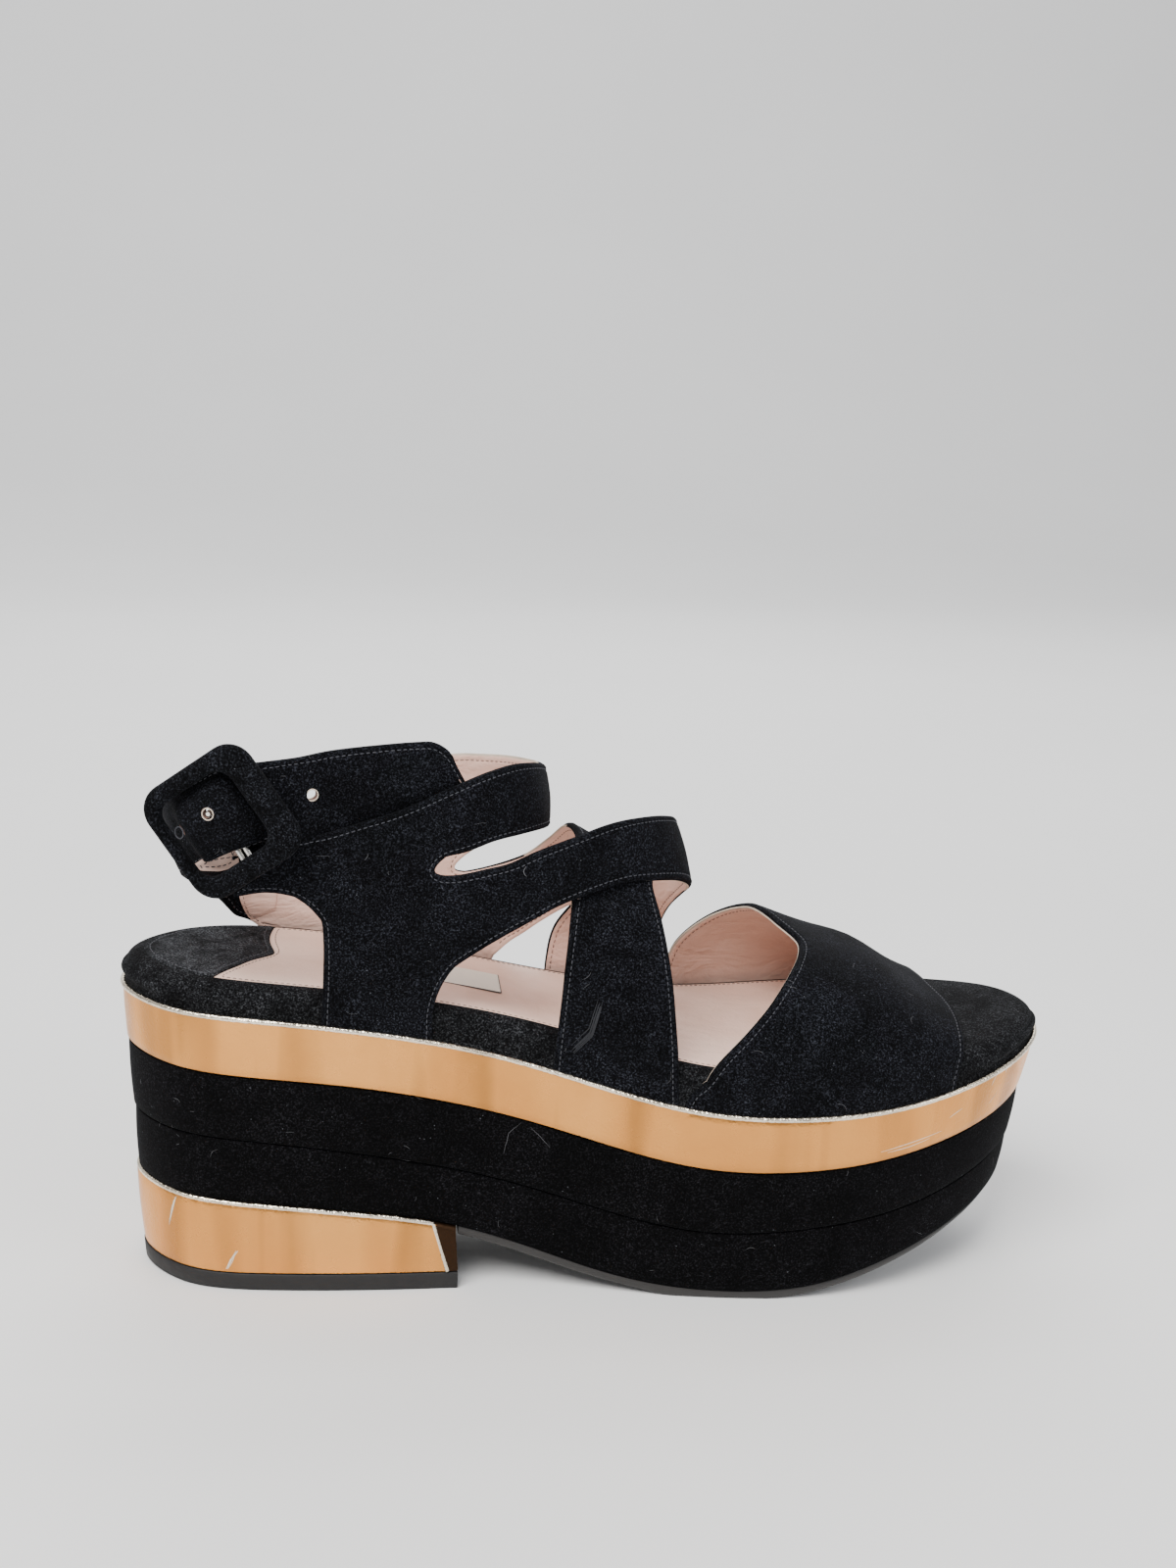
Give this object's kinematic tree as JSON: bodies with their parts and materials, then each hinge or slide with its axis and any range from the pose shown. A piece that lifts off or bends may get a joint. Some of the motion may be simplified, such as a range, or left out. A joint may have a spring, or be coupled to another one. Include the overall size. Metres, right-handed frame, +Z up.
{
  "type": "platform sandal",
  "caption": "Right platform sandal with crossed instep straps, buckled ankle strap, wide toe strap, layered wrapped platform and block heel.",
  "frame": {"origin": "on the floor, under the centre of the shoe's bounding box", "axes": "+X from heel to toe, +Y to the inner (medial) side, +Z up"},
  "size_m": [0.2508, 0.0886, 0.1468],
  "materials": {
    "heel_top_piece": "matte",
    "heel_block": "metallic gold, satin",
    "outsole": "satin",
    "platform_lower": "suede",
    "platform_upper": "suede",
    "platform_band": "metallic gold, satin",
    "footbed": "suede",
    "heel_pad": "suede",
    "sock": "smooth, pale pink",
    "toe_strap": "suede, pale pink lining",
    "crossed_straps": "suede, pale pink lining",
    "buckle_frame": "suede over a padded frame",
    "buckle_bar": "polished"
  },
  "bodies": {
    "root": {"heel_top_piece": "heel_top_piece", "heel_block": "heel_block", "outsole": "outsole", "platform_lower": "platform_lower", "platform_upper": "platform_upper", "platform_band": "platform_band", "footbed": "footbed", "heel_pad": "heel_pad", "sock": "sock", "toe_strap": "toe_strap", "crossed_straps": "crossed_straps", "buckle_frame": "buckle_frame", "buckle_bar": "buckle_bar"}
  },
  "joints": []
}
